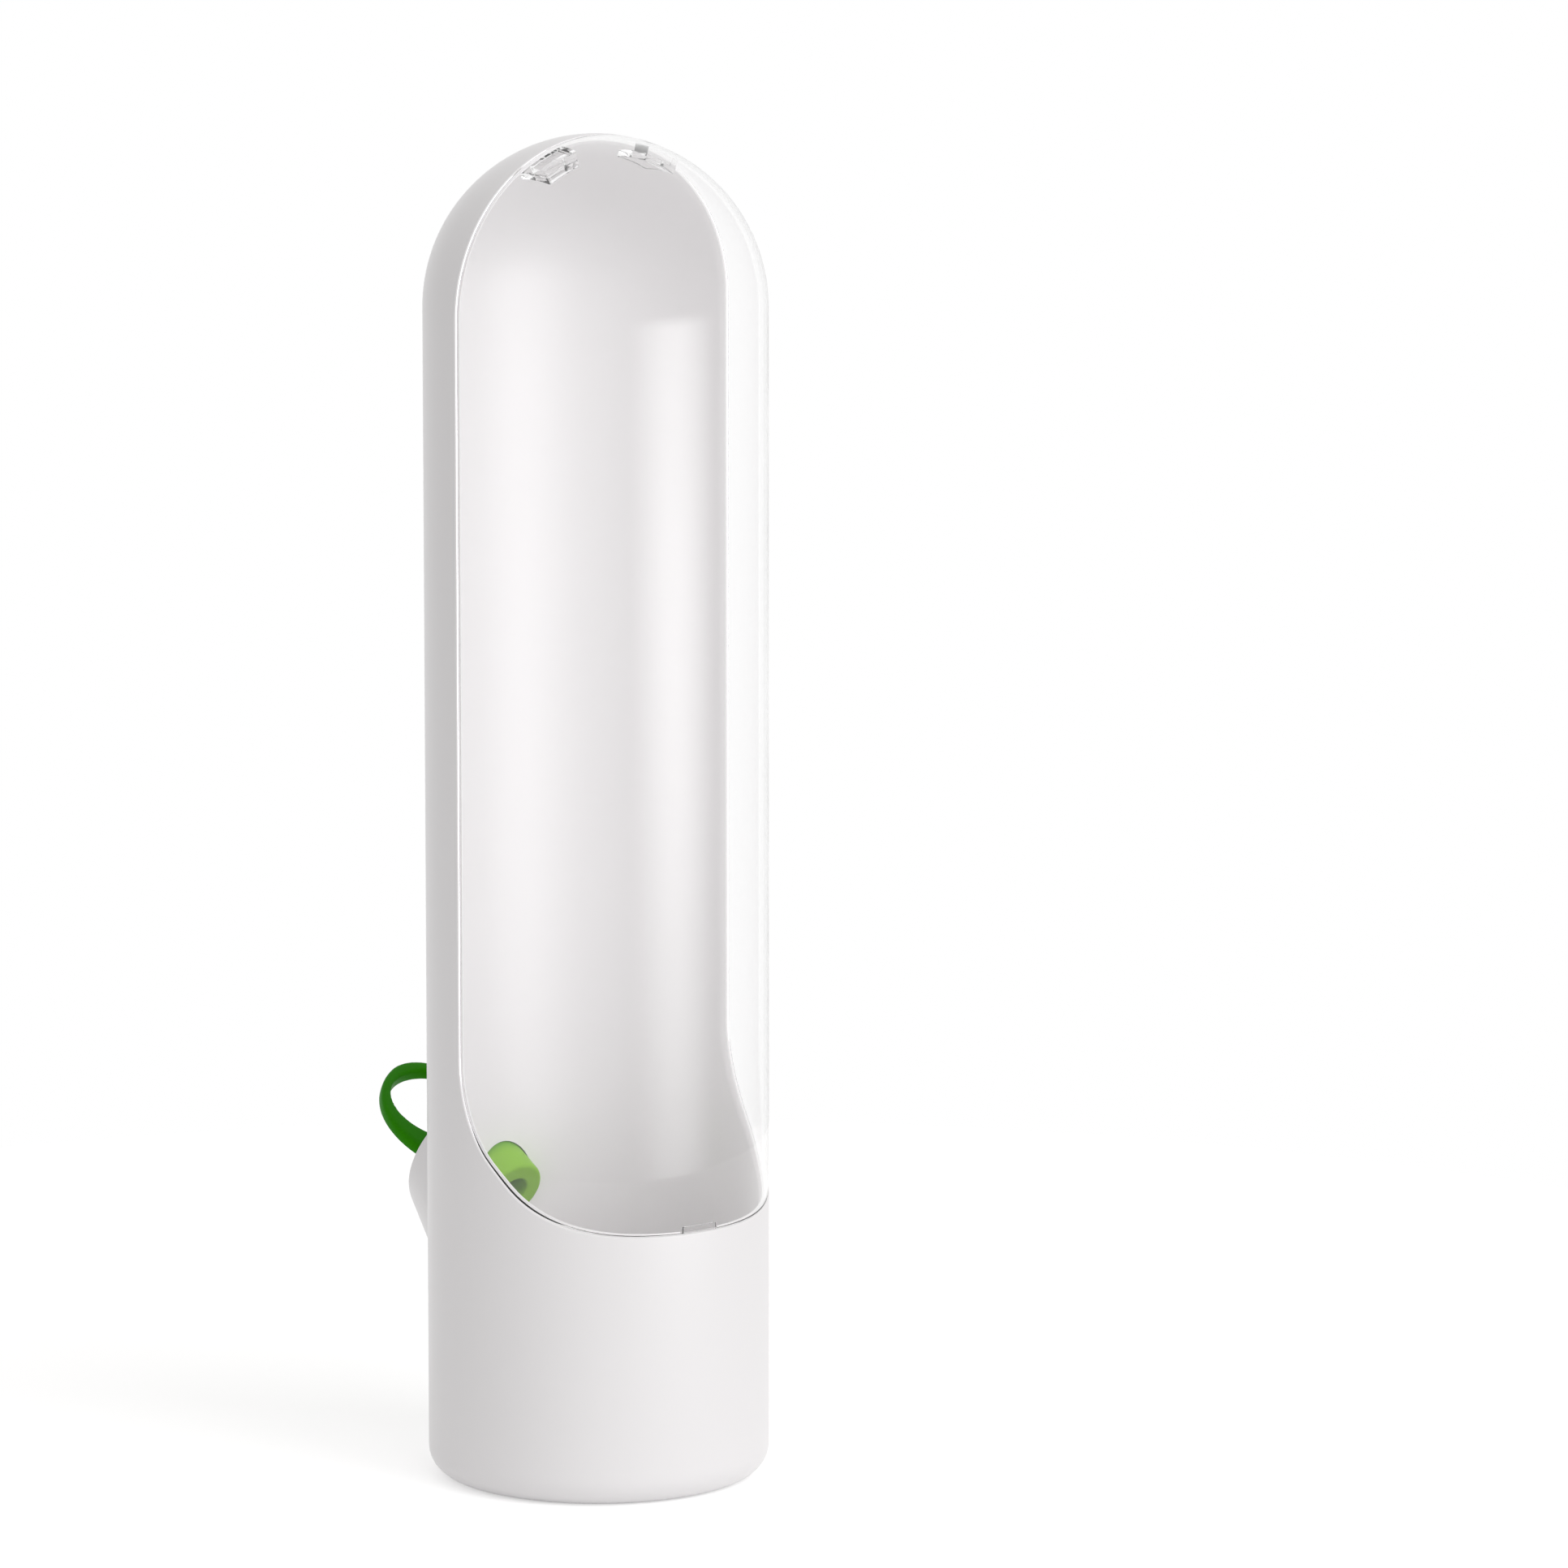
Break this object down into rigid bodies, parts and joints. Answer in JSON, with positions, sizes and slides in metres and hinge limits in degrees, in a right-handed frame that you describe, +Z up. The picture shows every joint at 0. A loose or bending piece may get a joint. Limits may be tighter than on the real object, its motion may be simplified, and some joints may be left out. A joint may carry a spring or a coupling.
{
  "type": "herb keeper",
  "caption": "Tall round keeper with a domed top: a white shell with a water well, a clear front window that pulls off, and a ringed plug in a spout low on the back.",
  "frame": {"origin": "centre of the flat underside, on the body's axis", "axes": "+Z up along the body's axis, -Y out of the window, +Y towards the spout"},
  "size_m": [0.065, 0.0952, 0.2565],
  "materials": {
    "shell": "moulded white plastic, satin to glossy",
    "base": "moulded white plastic, satin to glossy",
    "window": "clear moulded plastic, polished",
    "plug": "green silicone rubber, smooth"
  },
  "bodies": {
    "shell": {"body_shell": "shell", "base_cap": "base"},
    "window": {"front_window": "window"},
    "plug": {"fill_plug": "plug"}
  },
  "joints": [
    {"name": "window_pull", "type": "slide", "parent": "shell", "child": "window", "axis": [0, -1, 0], "range_m": [0, 0.06]},
    {"name": "plug_pull", "type": "slide", "parent": "shell", "child": "plug", "axis": [0, 0.8829, 0.4695], "range_m": [0, 0.03]}
  ]
}
